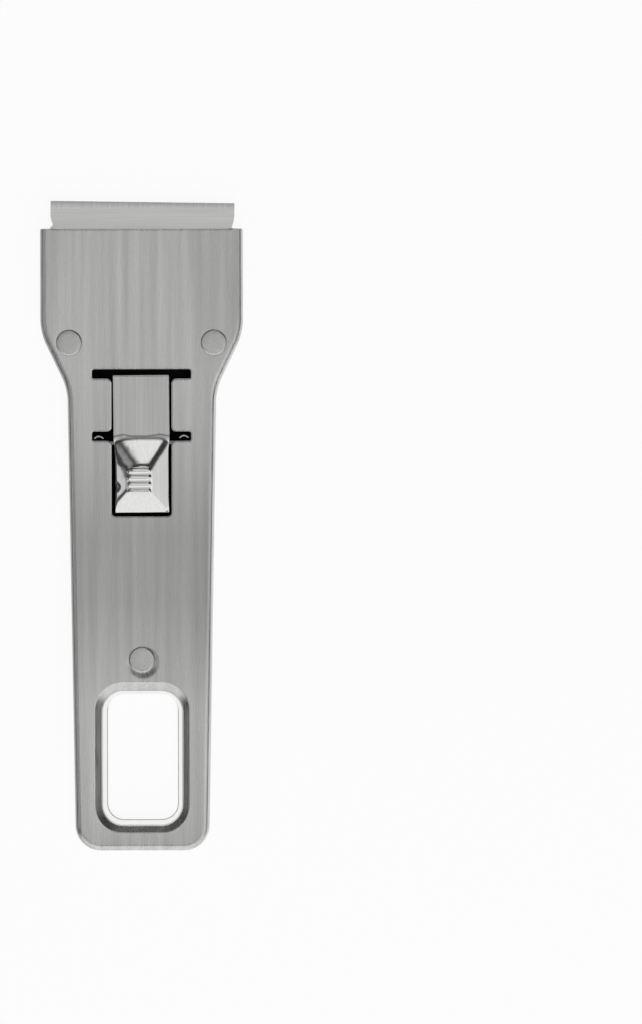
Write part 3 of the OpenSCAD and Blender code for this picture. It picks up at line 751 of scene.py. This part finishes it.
# Soft cards round a dark studio: azimuth from +X, half its width and its fade, then the lowest and
# the highest elevation and their fade, all in degrees, and its level. The last one lies under the
# floor and lights the back where the floor is hidden
CARDS = [
    (0, 180, 1, 80, 91, 6, 0.97),
    (-12, 24, 8, 54, 80, 5, 1.1),
    (-12, 24, 8, 28, 50, 5, 0.8),
    (-12, 30, 8, -12, 4, 4, 0.6),
    (270, 50, 18, -12, 62, 5, 1.0),
    (90, 14, 9, 31, 56, 4, 1.0),
    (180, 8, 8, 52, 84, 12, 0.8),
    (135, 10, 6, 30, 50, 8, 0.42),
    (180, 7, 5, 22, 38, 5, 0.75),
    (0, 180, 1, -91, -24, 8, 0.9),
]
DARK_STUDIO = 0.04

world = bpy.data.worlds.new("studio")
bpy.context.scene.world = world
world.use_nodes = True
sky = world.node_tree
sky.nodes.clear()
direction = add(sky, "ShaderNodeTexCoord").outputs["Generated"]
parts = add(sky, "ShaderNodeSeparateXYZ", Vector=direction).outputs
turn = add(sky, "ShaderNodeMath", {"operation": "ARCTAN2"}, _0=parts["Y"], _1=parts["X"]).outputs[0]
rise = add(sky, "ShaderNodeMath", {"operation": "ARCSINE"}, _0=parts["Z"]).outputs[0]
level = DARK_STUDIO
for azimuth, half, fade, low, high, edge, strength in CARDS:
    off = add(sky, "ShaderNodeMath", {"operation": "SUBTRACT"}, _0=turn, _1=math.radians(azimuth))
    wrapped = add(sky, "ShaderNodeMath", {"operation": "WRAP"},
                  _0=off.outputs[0], _1=math.pi, _2=-math.pi)
    aside = add(sky, "ShaderNodeMath", {"operation": "ABSOLUTE"}, _0=wrapped.outputs[0])
    card = strength
    # Each fade goes from none of the card to all of it
    for angle, none, full in ((aside.outputs[0], half + fade, half), (rise, low - edge, low),
                              (rise, high + edge, high)):
        share = add(sky, "ShaderNodeMapRange", {"interpolation_type": "SMOOTHSTEP"}, Value=angle,
                    From_Min=math.radians(none), From_Max=math.radians(full))
        card = add(sky, "ShaderNodeMath", {"operation": "MULTIPLY"},
                   _0=share.outputs[0], _1=card).outputs[0]
    level = add(sky, "ShaderNodeMath", {"operation": "MAXIMUM"}, _0=card, _1=level).outputs[0]
studio = add(sky, "ShaderNodeBackground", Color=level, Strength=1.0)
plain = add(sky, "ShaderNodeBackground", Color=srgb("#ffffff"), Strength=1.0)
to_camera = add(sky, "ShaderNodeLightPath").outputs["Is Camera Ray"]
both = add(sky, "ShaderNodeMixShader", _0=to_camera, _1=studio.outputs[0], _2=plain.outputs[0])
add(sky, "ShaderNodeOutputWorld", Surface=both.outputs[0])

# A square soft light that the floor sees and the steel doesn't, whose reflections are the cards'
key_data = bpy.data.lights.new("key", "AREA")
key_data.shape, key_data.size, key_data.energy = "SQUARE", 1.0, 9.0
key = bpy.data.objects.new("key", key_data)
key.location = (0.3, -1.0, 0.8)
key.rotation_euler = (-key.location).to_track_quat("-Z", "Y").to_euler()
key.visible_glossy = False
bpy.context.scene.collection.objects.link(key)

# The camera looks straight down on the face, with the scraper left of the picture's middle
DISTANCE = 0.8
PICTURE_H = 0.2221
PICTURE_X, PICTURE_Y = 0.0389, 0.00296
SENSOR = 36.0
camera_data = bpy.data.cameras.new("camera")
camera_data.sensor_width = SENSOR
camera_data.lens = SENSOR * DISTANCE / PICTURE_H
camera = bpy.data.objects.new("camera", camera_data)
camera.location = (PICTURE_X, PICTURE_Y, DISTANCE + BODY_H / PER_METRE)
camera.rotation_euler = (0, 0, math.radians(-0.11))
bpy.context.scene.collection.objects.link(camera)
bpy.context.scene.camera = camera
bpy.context.scene.view_settings.view_transform = "Standard"
